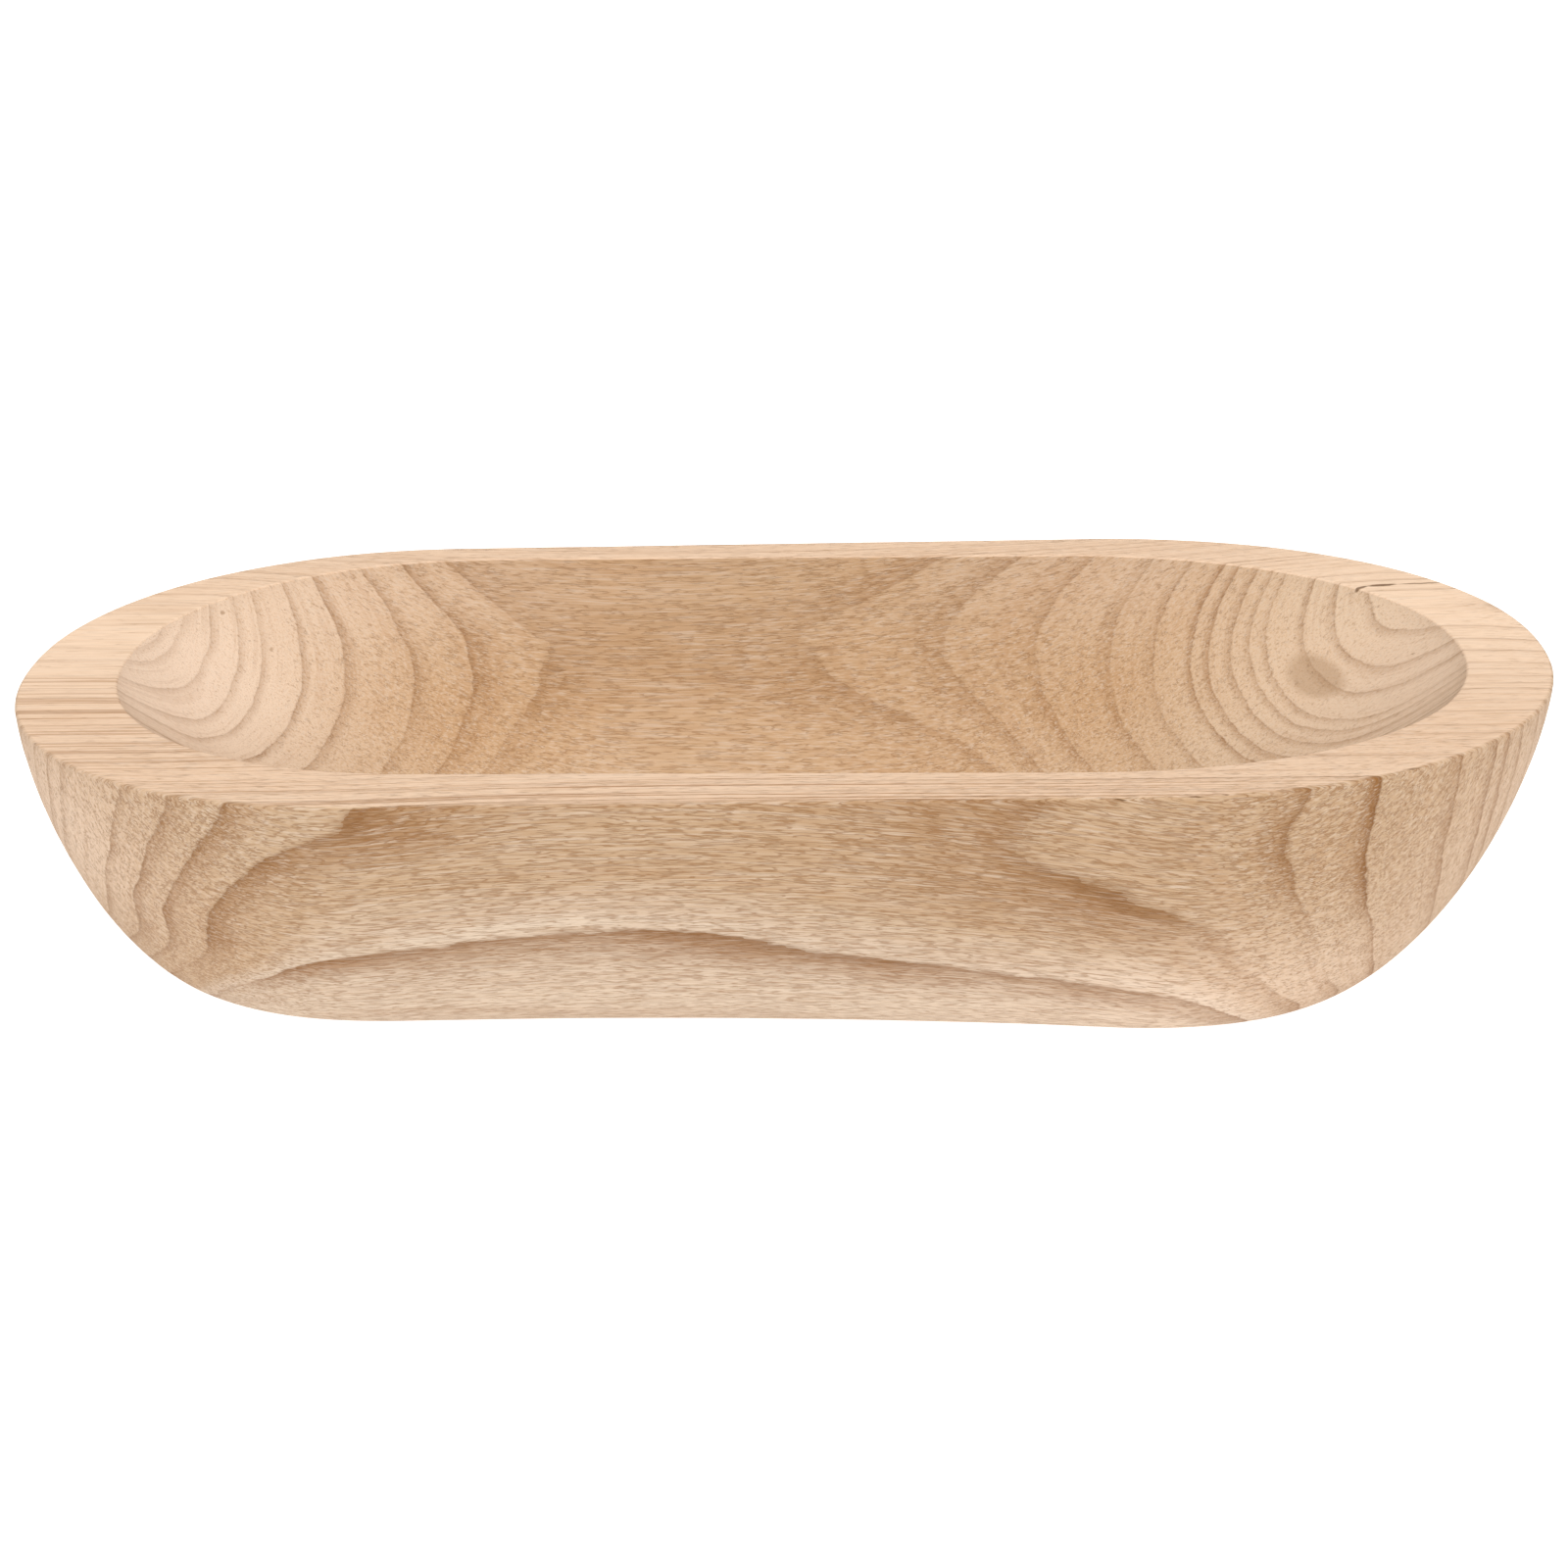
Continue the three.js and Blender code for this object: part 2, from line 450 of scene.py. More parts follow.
ring_index = np.arange(len(growth_rings))
early_counts = (ring_index[:, None] + np.array(early_hold)).ravel()
early_depth = np.interp(ring_count, early_counts, np.repeat(ring_early, len(early_hold)))
left_dark = np.interp(ring_count, ring_index, left_darkness)
right_dark = np.interp(ring_count, ring_index, right_darkness)
darkness = blend(left_dark, right_dark, right_share) * (1 + bells(smooth_points, line_fading))
print("Darkness of the lines:", darkness.min().round(2), "to", darkness.max().round(2))

# %% [markdown]
# ## Carved surface
# The hollow was scooped and sanded by hand, so its surface waves a little. Sanding also wears the soft
# early wood of each ring deeper than the hard late wood, which leaves low steps along the rings, and the
# sharp edge of the rim has lost a few splinters. These are real shapes, so they move the points of the
# skin along its normals instead of being drawn on. The normals come first.

# %% Normals of the skin
# Points lie on one place where their steps span less than this, in square millimetres.
least_cross = 1e-6
foot_normal = (0, 0, -1)
floor_normal = (0, 0, 1)


def skin_normals(points):
    """Normals from the cross product of the steps round the bowl and the steps along the rows.

    The floor of the hollow has no straight sides, so their points lie together on one place. There the
    product is nothing, and the normal of the floor is taken.
    """
    round_step = np.roll(points, -1, axis=1) - np.roll(points, 1, axis=1)
    row_step = np.gradient(points, axis=0)
    normal = np.cross(round_step, row_step)
    length = np.linalg.norm(normal, axis=-1, keepdims=True)
    together = length < least_cross
    return np.where(together, floor_normal, normal / np.where(together, 1, length))


normals = np.concatenate([skin_normals(skin).reshape(-1, 3), [foot_normal, floor_normal]])
print("Share of the normals that point up:", (normals[:, 2] > 0).mean().round(2))

# %% [markdown]
# The hollow is carved most. The outer wall was sanded more evenly, the rim was planed, and the foot has to
# stay flat. So each row of the skin has its own share of the carving, and a running mean over the rows
# keeps these shares from jumping.

# %% Share of the carving in each row
outer_carve_share = 0.3
rim_carve_share = 0.2
carve_fade_rows = 9

rim_start = flat_rows + outer_rows
rim_end = rim_start + 2 * edge_rows + rim_rows
row_carve_share = np.ones(len(skin))
row_carve_share[:rim_start] = outer_carve_share
row_carve_share[: flat_rows + 1] = 0
row_carve_share[rim_start - carve_fade_rows : rim_end + carve_fade_rows] = rim_carve_share
running_mean = np.ones(carve_fade_rows) / carve_fade_rows
padded_share = np.pad(row_carve_share, carve_fade_rows // 2, mode="edge")
above_foot = slice(flat_rows + carve_fade_rows, None)
row_carve_share[above_foot] = np.convolve(padded_share, running_mean, mode="valid")[above_foot]
carve_share = np.concatenate([np.repeat(row_carve_share, skin.shape[1]), [0, 1]])
print("Rows of the rim:", rim_start, "to", rim_end, "of", len(skin))

# %% [markdown]
# Waves, steps and chips are then added up. Each is counted down from the smooth skin, because carving
# and sanding take wood away.

# %% Waves, steps and chips
wave_height = 0.2
wave_lengths = [(97, 61, 83), (71, 43, -57), (-53, 79, 47)]
step_height = 0.32
step_skew = 0.8
right_step_share = 0.22

# Each chip has its centre on the rim's outer edge, its reach along x, y and z, and its depth.
edge_chips = [
    ((100.7, -112.9, 109), (3, 1.6, 1.2), -0.5),
    ((122.5, -112.4, 109.8), (4.5, 1.6, 1.2), -0.6),
    ((131.2, -111.6, 110.1), (3, 1.6, 1.2), -0.4),
    ((188, -95.6, 111.4), (5, 3, 1.2), -0.4),
]


def carved_waves(point):
    """Mean of slow sine waves that run through the block in different directions, from -1 to 1."""
    waves = [np.sin((point * 2 * math.pi / np.array(lengths)).sum(axis=-1)) for lengths in wave_lengths]
    return np.mean(waves, axis=0)


def worn_steps(count):
    """Skewed sine over each ring: a quick fall past its start and a slow rise to the next."""
    turn = 2 * math.pi * count
    return -np.sin(turn + step_skew * np.sin(turn))


waves = wave_height * (carved_waves(smooth_points) - 1)
step_share = darkness * np.abs(normals[:, 0]) * blend(1, right_step_share, right_share)
steps = step_height * step_share * (worn_steps(ring_count) - 1)
move = carve_share * (waves + steps) + bells(smooth_points, edge_chips)
carved_points = smooth_points + move[:, None] * normals
print("Carving moves the skin by", move.min().round(2), "to", move.max().round(2), "mm")

# %% [markdown]
# ## Outer wall, rim and hollow
# The three faces of the bowl were finished in different ways, and their colours also hold painted light:
# the outer wall is darkened by painted shade and the rim is paled by painted sheen. Every point of the skin
# gets its share of each face. On the rounded outer edge the share of the rim rises row by row, because a
# sudden change would show as a bright line.

# %% Shares of the three faces
planed_rows = np.zeros(len(skin))
planed_rows[rim_start:rim_end] = 1
planed_rows[rim_start : rim_start + edge_rows] = np.linspace(0, 1, edge_rows) ** 2
outer_side_rows = np.arange(len(skin)) < rim_start + edge_rows
planed = np.concatenate([np.repeat(planed_rows, skin.shape[1]), [0, 0]])
outer_part = np.concatenate([np.repeat(outer_side_rows * (1 - planed_rows), skin.shape[1]), [1, 0]])
hollow_part = 1 - outer_part - planed
faces = np.stack([outer_part, planed, hollow_part], axis=1)
print("Outer wall, rim and hollow, shares of the points:", faces.mean(axis=0).round(2))

# %% [markdown]
# The planed rim shows long brown streaks, fewer at the back, towards its right end and beside the pith,
# and the carved faces show them only faintly. The lines and the early wood are plainest on the outer wall.
# Besides, the wood has broad patches that are paler or warmer than the rest. The pale patches at the two
# ends of the hollow are painted light, and the warm patch in its middle is partly painted shade.

# %% Streaks, lines and patches
faint_streak = 0.2
# How strongly the rim shows streaks at places along it, from the left end to the right.
rim_places = (-250, -120, -80, 60, 200)
rim_streaks = (0.7, 0.8, 1.25, 1.05, 0.14)
back_rim_share = 0.4
back_rim_reach = (0, 60)
plain_pith_reach = (6, 20)

# How strongly the lines and the early wood show on the outer wall, on the rim and in the hollow.
line_shares = (1.2, 1.0, 0.65)
early_shares = (1.0, 0.35, 0.78)

# Broad patches of paler and of warmer wood: centre, reach along x, y and z, and strength. The pale patches
# centred at the ends of the hollow (x of -200, 202, 226 and -224) are painted light on steep end walls.
pale_patches = [
    ((150, -80, 25), (70, 60, 32), 0.6),
    ((-200, 20, 88), (54, 75, 44), 0.95),
    ((-130, 86, 98), (70, 24, 18), 0.35),
    ((202, 12, 90), (52, 62, 32), 0.55),
    ((226, 4, 100), (24, 50, 20), 0.45),
    ((-224, 2, 90), (22, 48, 20), 0.4),
    ((110, 86, 105), (60, 22, 20), 0.35),
    ((-218, -75, 75), (42, 45, 42), 0.5),
    ((225, -60, 80), (38, 45, 42), 0.35),
]
# The first warm patch darkens the middle of the hollow: partly warmer wood, partly painted shade deep in it.
warm_patches = [((10, 68, 62), (120, 50, 40), 1.0), ((205, 12, 95), (50, 60, 40), 0.3)]

at_back = smooth_step(smooth_points[:, 1], *back_rim_reach)
rim_streak = np.interp(smooth_points[:, 0], rim_places, rim_streaks) * blend(1, back_rim_share, at_back)
pith_side = np.abs(from_pith(smooth_points)[0])
streaky = blend(faint_streak, rim_streak, planed) * smooth_step(pith_side, *plain_pith_reach)
wood_values = {
    "ring_count": ring_count,
    "ring_width": ring_width,
    "darkness": darkness,
    "early_depth": early_depth,
    "planed": planed,
    "streaky": streaky,
    "outer": outer_part,
    "line_shows": faces @ line_shares,
    "early_shows": faces @ early_shares,
    "pale": (1 - planed) * bells(smooth_points, pale_patches),
    "warm": bells(smooth_points, warm_patches),
}
print("Values of the wood at each point:", ", ".join(wood_values))

# %% [markdown]
# ## Mesh
# The grid becomes four-sided faces, closed round the bowl, with a fan of triangles over the middle of
# the foot and of the hollow's floor. The place in the tree and the values of the wood go along as
# attributes of the points, so the material can read them all over the skin.

# %% Mesh with its place in the tree
def skin_faces(row_count, column_count):
    """Quads between neighbouring rows, and a fan from each pole to the first and the last row."""
    index = np.arange(row_count * column_count).reshape(row_count, column_count)
    after = np.roll(index, -1, axis=1)
    quads = np.stack([index[:-1], after[:-1], after[1:], index[1:]], axis=-1).reshape(-1, 4)
    first_pole = np.full(column_count, index.size)
    last_pole = first_pole + 1
    foot_fan = np.stack([first_pole, after[0], index[0]], axis=-1)
    floor_fan = np.stack([last_pole, index[-1], after[-1]], axis=-1)
    return quads.tolist() + foot_fan.tolist() + floor_fan.tolist()


mesh = bpy.data.meshes.new("bowl_skin")
mesh.from_pydata((carved_points * MM).tolist(), [], skin_faces(*skin.shape[:2]))
mesh.polygons.foreach_set("use_smooth", np.ones(len(mesh.polygons), bool))
for name, values in wood_values.items():
    mesh.attributes.new(name, "FLOAT", "POINT").data.foreach_set("value", values.astype(np.float32))
tree_place = mesh.attributes.new("grain", "FLOAT_VECTOR", "POINT")
tree_place.data.foreach_set("vector", grain.astype(np.float32).ravel())
mesh.update()

bowl = bpy.data.objects.new("carved_bowl", mesh)
bpy.context.scene.collection.objects.link(bowl)
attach(bowl, "root")
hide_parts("bowl")
mesh.calc_loop_triangles()
print("Carved bowl of", len(mesh.loop_triangles), "triangles")

# %% [markdown]
# ## Sanded paulownia
# The wood looks like paulownia: very pale, matt and open-pored. Each ring starts with a band of large
# pores, which sanding fills with brown dust, and ends in smooth pale wood. To the eye that gives a thin
# brown line, a speckled band that fades, and a clean pale edge before the next line. Every pattern is
# laid through the tree in millimetres, so a pore is a dot on the end grain and a dash along the side.

# %% Helpers for the material
def srgb(hex_colour):
    """Linear colour from an sRGB hex value such as '#d8b38a', by the curve of the sRGB standard."""
    value = np.array([int(hex_colour[i : i + 2], 16) for i in (1, 3, 5)]) / 255
    linear = np.where(value <= 0.04045, value / 12.92, ((value + 0.055) / 1.055) ** 2.4)
    return (*linear.tolist(), 1.0)


def add_node(tree, kind, inputs=None, **settings):
    """Adds a node, sets its properties, and sets or links its inputs by name or number."""
    node = tree.nodes.new(kind)
    for name, value in settings.items():
        setattr(node, name, value)
    for socket, value in (inputs or {}).items():
        if isinstance(value, bpy.types.NodeSocket):
            tree.links.new(value, node.inputs[socket])
        else:
            node.inputs[socket].default_value = value
    return node


wood = bpy.data.materials.new("sanded_paulownia")
wood.use_nodes = True
tree = wood.node_tree
tree.nodes.clear()
print("Material", wood.name)

# %% [markdown]
# All patterns of the wood are noises that are stretched along the trunk. Their sizes are in millimetres:
# along the trunk, outwards across the rings, and around the pith. A pore of this wood is about 0.3 mm
# wide, near the least that the picture can show, so the noise of the pores has twice that size. Single
# fibres are much finer than that, so what is drawn is bundles of them.

# %% Patterns of the grain
# Size along the trunk, outwards and around the pith, then the detail and the roughness of the noise.
grain_patterns = {
    "wander": ((110, 25, 15), 1.0, 0.5),
    "waver": ((12, 2.5, 2.5), 2.0, 0.5),
    "vigour": ((45, 22, 20), 1.0, 0.5),
    "tint": ((160, 34, 60), 2.0, 0.5),
    "streaks": ((320, 1.1, 60), 2.0, 0.6),
    "fibres": ((26, 0.5, 0.5), 2.0, 0.6),
    "pores": ((8, 0.6, 0.6), 1.0, 0.5),
    "pore_gaps": ((6, 1.2, 1.2), 1.0, 0.5),
}

grain_socket = add_node(tree, "ShaderNodeAttribute", attribute_name="grain").outputs["Vector"]
pattern = {}
for name, (sizes, detail, roughness) in grain_patterns.items():
    scale = [1 / size for size in sizes]
    scaled = add_node(tree, "ShaderNodeMapping", {"Vector": grain_socket, "Scale": scale}).outputs["Vector"]
    noise = {"Vector": scaled, "Scale": 1.0, "Detail": detail, "Roughness": roughness}
    pattern[name] = add_node(tree, "ShaderNodeTexNoise", noise).outputs["Fac"]
print("Patterns:", ", ".join(pattern))

# %% [markdown]
# The rings are not drawn with a compass: each line wanders by a millimetre or so, and it fades in and
# out along its way. So the count is moved a little, and the darkness of the lines is changed, each by a
# slow noise. The part of the count after the point is then the share of a ring that has been grown.

# %% Wandering rings
line_wander = {"wander": 1.6, "waver": 0.6}
# A noise lies mostly between these two values.
noise_low = 0.35
noise_high = 0.65
weak_vigour = 0.65
strong_vigour = 1.15

skin_value = {}
for name in wood_values:
    skin_value[name] = add_node(tree, "ShaderNodeAttribute", attribute_name=name).outputs["Fac"]
width = skin_value["ring_width"]
moved = -sum(line_wander.values()) / 2
for name, amount in line_wander.items():
    further = {0: pattern[name], 1: amount, 2: moved}
    moved = add_node(tree, "ShaderNodeMath", further, operation="MULTIPLY_ADD").outputs["Value"]
ring_move = add_node(tree, "ShaderNodeMath", {0: moved, 1: width}, operation="DIVIDE").outputs["Value"]
counts = {0: skin_value["ring_count"], 1: ring_move}
ring = add_node(tree, "ShaderNodeMath", counts, operation="ADD").outputs["Value"]
grown = add_node(tree, "ShaderNodeMath", {0: ring}, operation="FRACT").outputs["Value"]
left_over = add_node(tree, "ShaderNodeMath", {0: 1.0, 1: grown}, operation="SUBTRACT").outputs["Value"]
vigour = {"Value": pattern["vigour"], "From Min": noise_low, "From Max": noise_high}
vigour |= {"To Min": weak_vigour, "To Max": strong_vigour}
alive = add_node(tree, "ShaderNodeMapRange", vigour).outputs["Result"]
changed = {0: skin_value["darkness"], 1: alive}
dark = add_node(tree, "ShaderNodeMath", changed, operation="MULTIPLY").outputs["Value"]
print("Lines wander by up to", sum(line_wander.values()) / 2, "mm to each side")

# %% [markdown]
# The share that has been grown, times the width of the ring, is a depth in millimetres, so a line is
# equally thin in every ring. Each ring gets a brown line that rises quickly and fades slowly, and a wider,
# softer band of early wood behind it.

# %% Lines and early wood
line_depth = 0.6
line_rise = 0.25

ring_part = {}
for name, share, reach in (
    ("line", grown, line_depth),
    ("rise", left_over, line_rise),
    ("early", grown, skin_value["early_depth"]),
):
    depth_in = add_node(tree, "ShaderNodeMath", {0: share, 1: width}, operation="MULTIPLY").outputs["Value"]
    fall = {"Value": depth_in, "From Min": 0.0, "From Max": reach, "To Min": 1.0, "To Max": 0.0}
    faded = add_node(tree, "ShaderNodeMapRange", fall, interpolation_type="SMOOTHSTEP").outputs["Result"]
    strength = {0: faded, 1: dark}
    ring_part[name] = add_node(tree, "ShaderNodeMath", strength, operation="MULTIPLY").outputs["Value"]
either = {0: ring_part["line"], 1: ring_part["rise"]}
line_edge = add_node(tree, "ShaderNodeMath", either, operation="MAXIMUM").outputs["Value"]
shown = []
for strength, shows in ((line_edge, "line_shows"), (ring_part["early"], "early_shows")):
    kept = {0: strength, 1: skin_value[shows]}
    shown.append(add_node(tree, "ShaderNodeMath", kept, operation="MULTIPLY").outputs["Value"])
line, early = shown
print("Ring lines", line_depth, "mm deep, early wood", ring_early.min(), "to", ring_early.max(), "mm")

# %% [markdown]
# The pores crowd in the early wood of each ring and thin out towards its pale edge. The young wood near the
# pith, the bleached patches and the planed rim have fewer of them, and the outer wall has more.

# %% Crowding of the pores
young_growth = (65.0, 15.0)
inner_growth = (112.0, 40.0)
inner_thinning = 0.12
pale_thinning = 0.14
planed_thinning = 0.1
early_crowding = 0.14
outer_crowding = 0.05

growth = add_node(tree, "ShaderNodeSeparateXYZ", {"Vector": grain_socket}).outputs["Y"]
by_growth = []
for outwards, inwards in (young_growth, inner_growth):
    share_in = {"Value": growth, "From Min": outwards, "From Max": inwards}
    by_growth.append(add_node(tree, "ShaderNodeMapRange", share_in).outputs["Result"])
young, inner = by_growth
crowd = pattern["pore_gaps"]
for cause, amount in (
    (inner, -inner_thinning),
    (skin_value["pale"], -pale_thinning),
    (skin_value["planed"], -planed_thinning),
    (early, early_crowding),
    (skin_value["outer"], outer_crowding),
):
    further = {0: cause, 1: amount, 2: crowd}
    crowd = add_node(tree, "ShaderNodeMath", further, operation="MULTIPLY_ADD").outputs["Value"]
print("Pores crowd by", early_crowding, "and thin out by", inner_thinning)

# %% [markdown]
# The pores are drawn where a noise passes through its middle value: that gives thin squiggles on the end
# grain and long dashes along the side. The crowding, a second noise, breaks them into pieces. On the rim
# and in the hollow the pores are fainter than on the outer wall.

# %% Pores
noise_middle = 0.5
pore_edge = 0.075
pore_heart = 0.03
gap_starts = 0.4
gap_ends = 0.54
inner_pore_share = 0.7

from_middle = {0: pattern["pores"], 1: noise_middle}
pore_side = add_node(tree, "ShaderNodeMath", from_middle, operation="SUBTRACT").outputs["Value"]
pore_away = add_node(tree, "ShaderNodeMath", {0: pore_side}, operation="ABSOLUTE").outputs["Value"]
pore = 1.0
for value, nothing, full, least in (
    (pore_away, pore_edge, pore_heart, 0.0),
    (crowd, gap_starts, gap_ends, 0.0),
    (skin_value["outer"], 0.0, 1.0, inner_pore_share),
):
    opening = {"Value": value, "From Min": nothing, "From Max": full, "To Min": least}
    opened = add_node(tree, "ShaderNodeMapRange", opening).outputs["Result"]
    pore = add_node(tree, "ShaderNodeMath", {0: pore, 1: opened}, operation="MULTIPLY").outputs["Value"]
print("Pores of the rim and the hollow show by", inner_pore_share)

# %% [markdown]
# A few marks belong to this piece of wood: a thin crack in the rim, a stain in the hollow, some dark
# flecks, and torn wood where the rim's edge has lost splinters. Each is an ellipsoid in the block. They
# could be drawn on an image, but an ellipsoid has a real place and size and needs no image.

# %% Marks in the wood
crack_brown = srgb("#674729")
fleck_brown = srgb("#94704f")
stain_brown = srgb("#a38261")

# Colour, centre, turn about z in degrees, half sizes along, across and up, and greatest share.
wood_marks = [
    (crack_brown, (200.3, 56, 112), 33, (4.5, 1.1, 2), 0.8),
    (crack_brown, (208.5, 58.6, 112), 8, (6, 1.3, 2), 0.85),
    (crack_brown, (222, 60, 112.3), 4, (9, 0.8, 2), 0.65),
    (stain_brown, (183.5, 34, 87.5), 27, (7.5, 16.5, 19), 0.5),
    (fleck_brown, (212.2, 16.5, 102.5), 145, (1.6, 0.5, 1.2), 0.8),
    (fleck_brown, (-198.9, 58.3, 98.1), 0, (1.3, 1.5, 1.5), 0.6),
    (fleck_brown, (-181.6, 55.4, 85.3), 80, (1.5, 0.7, 1.5), 0.5),
    (fleck_brown, (-83.6, 76.6, 69.9), 2, (5, 1, 1.2), 0.55),
    (fleck_brown, (13, 79.5, 78), -2, (7, 1, 1.2), 0.5),
    (crack_brown, (100.7, -112.6, 108.6), 0, (2.6, 1.2, 0.35), 0.85),
    (crack_brown, (122.5, -111.9, 109.5), 2, (4.6, 1.2, 0.4), 0.75),
    (crack_brown, (131.2, -111.2, 109.8), 5, (1.8, 1.2, 0.35), 0.6),
    (crack_brown, (188, -95, 111.1), 29, (5.5, 1.2, 0.35), 0.5),
]
print("Marks in the wood:", len(wood_marks))

# %% [markdown]
# A smooth ellipsoid would look like paint. So the place is first moved by a fine noise, which makes every
# edge ragged. The distance from a mark's centre, counted in its half sizes, then tells how strongly the
# mark shows: fully in its core, and not at all beyond a distance of 1.

# %% Ragged edges of the marks
ragged_size = 3.0
ragged_move = 1.0
ragged_detail = 2.0
mark_core = 0.65

place = add_node(tree, "ShaderNodeTexCoord").outputs["Object"]
ragged = {"Vector": place, "Scale": 1 / (ragged_size * MM), "Detail": ragged_detail}
ragged_noise = add_node(tree, "ShaderNodeTexNoise", ragged).outputs["Color"]
ragged_edge = {0: ragged_noise, 1: (ragged_move * MM,) * 3, 2: place}
ragged_place = add_node(
    tree, "ShaderNodeVectorMath", ragged_edge, operation="MULTIPLY_ADD"
).outputs["Vector"]
mark_layers = []
for mark_colour, centre, turn, half_sizes, share in wood_marks:
    mark_place = {
        "Vector": ragged_place,
        "Location": [(value + ragged_move / 2) * MM for value in centre],
        "Rotation": (0, 0, math.radians(turn)),
        "Scale": [value * MM for value in half_sizes],
    }
    inside = add_node(tree, "ShaderNodeMapping", mark_place, vector_type="TEXTURE").outputs["Vector"]
    away = add_node(tree, "ShaderNodeVectorMath", {0: inside}, operation="LENGTH").outputs["Value"]
    mark_layers.append((mark_colour, away, 1.0, mark_core, 0.0, share))
print("Edges of the marks are ragged by up to", ragged_move / 2, "mm")

# %% [markdown]
# Fresh paulownia is the colour of straw. It is paler in broad patches, and the patches at the ends of the
# hollow are painted light. The outer wall is darkened and greyed by painted shade, and the planed rim is the
# palest part, partly by painted sheen. Brown comes from the early wood, the dust in the pores and the lines.

# %% Colours of the wood
late_wood = srgb("#c9ad8f")
# warmer wood for the slow tint, and partly painted shade in the warm patch of the hollow
warm_wood_and_shade = srgb("#bd9770")
young_wood = srgb("#ebd3b6")
# painted shade: darkens and greys the whole outer wall
outer_wall_painted_shade = srgb("#b6997b")
sapwood = srgb("#dac7b2")
# pale patches; at the ends of the hollow this is painted light on walls the lamp leaves in shade
pale_wood_and_painted_light = srgb("#f0d5be")
# rim colour: partly paler planed wood, partly painted sheen on the top of the rim
planed_wood_and_sheen = srgb("#f5d5b9")
early_wood = srgb("#865317")
streak_brown = srgb("#9c6b40")
fibre_pale = srgb("#cfbaa5")
fibre_brown = srgb("#a68058")
pore_brown = srgb("#815019")
line_brown = srgb("#704412")
print("Late wood, linear:", [round(value, 3) for value in late_wood])

# %% [markdown]
# The colours are laid over each other from the broadest to the finest: slow changes of tint, the pale
# young wood near the pith, the painted shade of the outer wall, the pale sapwood under the foot, the pale
# and the warm patches, which hold painted light and painted shade, the planed rim with its painted sheen,
# the early wood, the streaks, the fibres, the pores, the brown line and last the marks. Each layer reads
# one pattern.

# %% Layers of colour
streak_starts = 0.55
streak_ends = 0.58
full_streak = 1.2
sapwood_starts = 119.2
sapwood_ends = 121.2

streak_height = {"Value": pattern["streaks"], "From Min": streak_starts, "From Max": streak_ends}
streak = add_node(tree, "ShaderNodeMapRange", streak_height).outputs["Result"]
both = {0: streak, 1: skin_value["streaky"]}
streaked = add_node(tree, "ShaderNodeMath", both, operation="MULTIPLY").outputs["Value"]

# Colour laid over the rest, the pattern, the pattern's start and end, and the share at each of these.
colour_layers = [
    (warm_wood_and_shade, pattern["tint"], noise_low, noise_high, 0.1, 0.9),
    (young_wood, young, 0.0, 1.0, 0.0, 0.7),
    # painted shade over the outer wall
    (outer_wall_painted_shade, skin_value["outer"], 0.0, 1.0, 0.0, 0.62),
    (sapwood, growth, sapwood_starts, sapwood_ends, 0.0, 0.75),
    # pale patches, painted light at the ends of the hollow
    (pale_wood_and_painted_light, skin_value["pale"], 0.0, 1.0, 0.0, 0.75),
    # warm patches, partly painted shade in the middle of the hollow
    (warm_wood_and_shade, skin_value["warm"], 0.0, 1.0, 0.0, 0.6),
    # paler rim, partly painted sheen
    (planed_wood_and_sheen, skin_value["planed"], 0.0, 1.0, 0.0, 0.62),
    (early_wood, early, 0.0, 1.0, 0.0, 0.8),
    (streak_brown, streaked, 0.0, full_streak, 0.0, 0.75),
    (fibre_pale, pattern["fibres"], noise_middle, 0.3, 0.0, 0.6),
    (fibre_brown, pattern["fibres"], noise_middle, 0.7, 0.0, 0.45),
    (pore_brown, pore, 0.0, 1.0, 0.0, 0.48),
    (line_brown, line, 0.0, 1.0, 0.0, 0.36),
    *mark_layers,
]

# The colour sockets of a mix node share their names with others, so they are taken by number.
MIX_FACTOR = 0
MIX_UNDER = 6
MIX_OVER = 7
MIX_RESULT = 2

colour = late_wood
for over, value, start, end, least, most in colour_layers:
    spread = {"Value": value, "From Min": start, "From Max": end, "To Min": least, "To Max": most}
    share = add_node(tree, "ShaderNodeMapRange", spread).outputs["Result"]
    mix = {MIX_FACTOR: share, MIX_UNDER: colour, MIX_OVER: over}
    colour = add_node(tree, "ShaderNodeMix", mix, data_type="RGBA").outputs[MIX_RESULT]
print("Colours laid over each other:", len(colour_layers))

# %% [markdown]
# Bare sanded wood is matt and has no varnish to shine. The pores and the ring lines are slightly sunk,
# which a bump takes from the same patterns, because these dents are finer than the mesh.

# %% Surface of the wood
wood_ior = 1.5
wood_roughness = 0.75
wood_shine = 0.2
bump_strength = 0.6
dent_depth = 0.3

dents = add_node(tree, "ShaderNodeMath", {0: pore, 1: line}, operation="ADD").outputs["Value"]
less = {0: pattern["fibres"], 1: dents}
sunk = add_node(tree, "ShaderNodeMath", less, operation="SUBTRACT").outputs["Value"]
dented = {"Height": sunk, "Strength": bump_strength, "Distance": dent_depth * MM}
bump = add_node(tree, "ShaderNodeBump", dented).outputs["Normal"]
finish = {"Base Color": colour, "Roughness": wood_roughness, "IOR": wood_ior, "Normal": bump}
finish |= {"Specular IOR Level": wood_shine}
shader = add_node(tree, "ShaderNodeBsdfPrincipled", finish)
add_node(tree, "ShaderNodeOutputMaterial", {"Surface": shader.outputs["BSDF"]})
mesh.materials.append(wood)
print("Wood of", len(tree.nodes), "nodes")

# %% [markdown]
# ## White table
# The bowl stands on a table of opal white acrylic that glows a little from below, as tables for product
# pictures do: that keeps the floor white and lights the lower wall, so the wood brightens towards the
# foot. The acrylic is matt, so nothing is mirrored in it.

# %% White table
floor_size = 8
table_glow = 0.95
table_roughness = 0.9

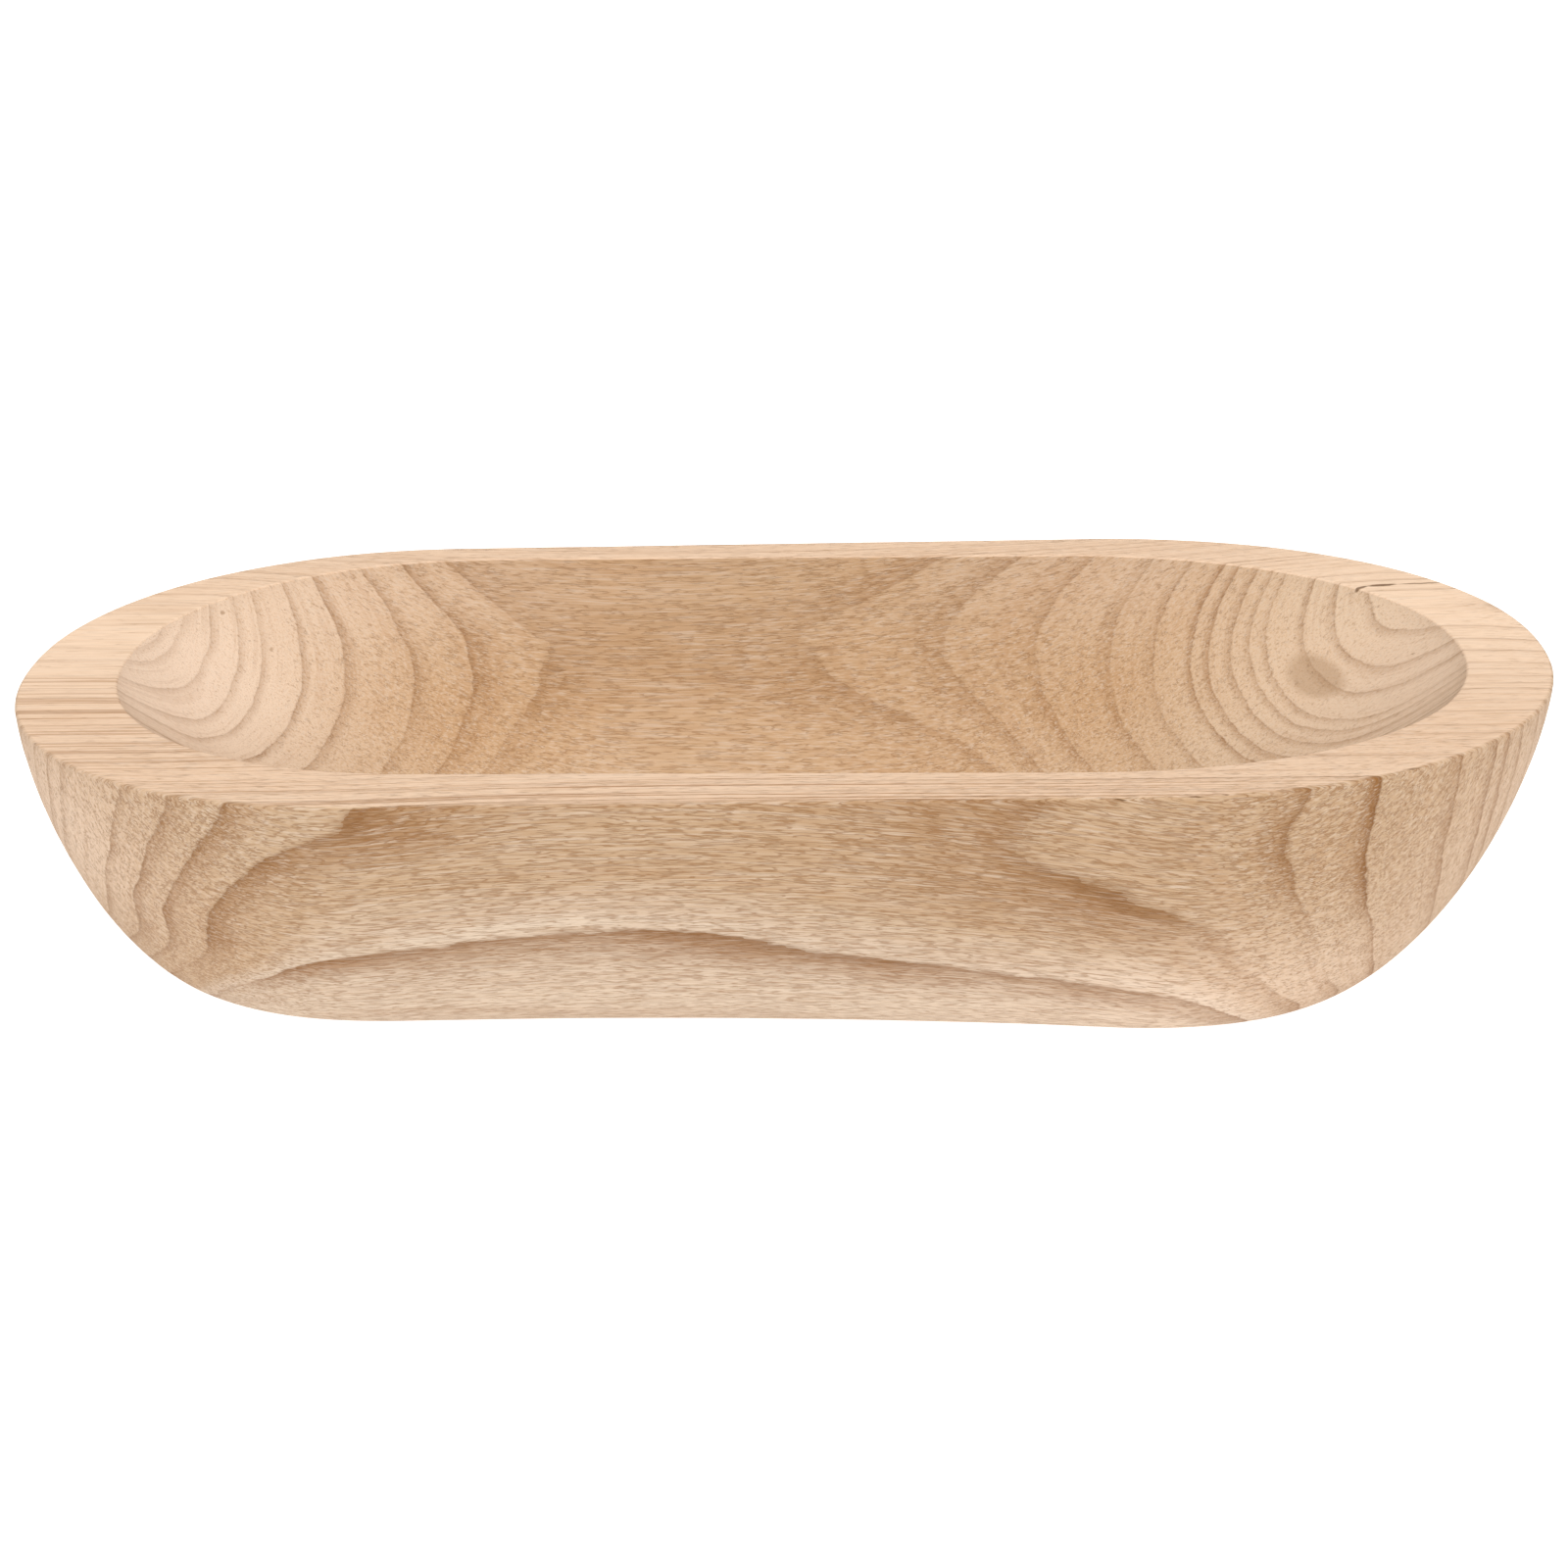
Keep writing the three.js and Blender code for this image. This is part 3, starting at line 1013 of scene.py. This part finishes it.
opal = bpy.data.materials.new("opal_white_acrylic")
opal.use_nodes = True
opal_shader = opal.node_tree.nodes["Principled BSDF"]
opal_shader.inputs["Base Color"].default_value = srgb("#b4b4b3")
opal_shader.inputs["Roughness"].default_value = table_roughness
opal_shader.inputs["Specular IOR Level"].default_value = 0.0
opal_shader.inputs["Emission Color"].default_value = srgb("#ffffff")
opal_shader.inputs["Emission Strength"].default_value = table_glow

half_floor = floor_size / 2
floor_mesh = bpy.data.meshes.new("floor")
floor_corners = [(x * half_floor, y * half_floor, 0) for x, y in ((-1, -1), (1, -1), (1, 1), (-1, 1))]
floor_mesh.from_pydata(floor_corners, [], [(0, 1, 2, 3)])
floor_mesh.materials.append(opal)
floor_object = bpy.data.objects.new("floor", floor_mesh)
bpy.context.scene.collection.objects.link(floor_object)
print("Table of", floor_size, "m with a glow of", table_glow)

# %% [markdown]
# ## Light
# One wide, soft lamp stands above the front, so it lights the hollow as evenly as the rim. The room
# lights the bowl only faintly, but it is seen as white.

# %% Lamp and room
lamp_strength = 2.75
lamp_angle = 70
lamp_from_right = 4
lamp_from_front = 26
room_light = 0.45

lamp = bpy.data.objects.new("soft_lamp", bpy.data.lights.new("soft_lamp", "SUN"))
lamp.data.energy = lamp_strength
lamp.data.angle = math.radians(lamp_angle)
lamp.rotation_euler = (math.radians(lamp_from_front), math.radians(lamp_from_right), 0)
bpy.context.scene.collection.objects.link(lamp)

room = bpy.data.worlds.new("bright_room")
room.use_nodes = True
backdrop = room.node_tree.nodes["Background"]
backdrop.inputs["Color"].default_value = srgb("#ffffff")
seen = add_node(room.node_tree, "ShaderNodeLightPath").outputs["Is Camera Ray"]
brightness = add_node(
    room.node_tree, "ShaderNodeMapRange", {"Value": seen, "To Min": room_light, "To Max": 1.0}
).outputs["Result"]
room.node_tree.links.new(brightness, backdrop.inputs["Strength"])
bpy.context.scene.world = room
bpy.context.scene.view_settings.view_transform = "Standard"
print("Lamp of strength", lamp_strength, "and a room of", room_light)
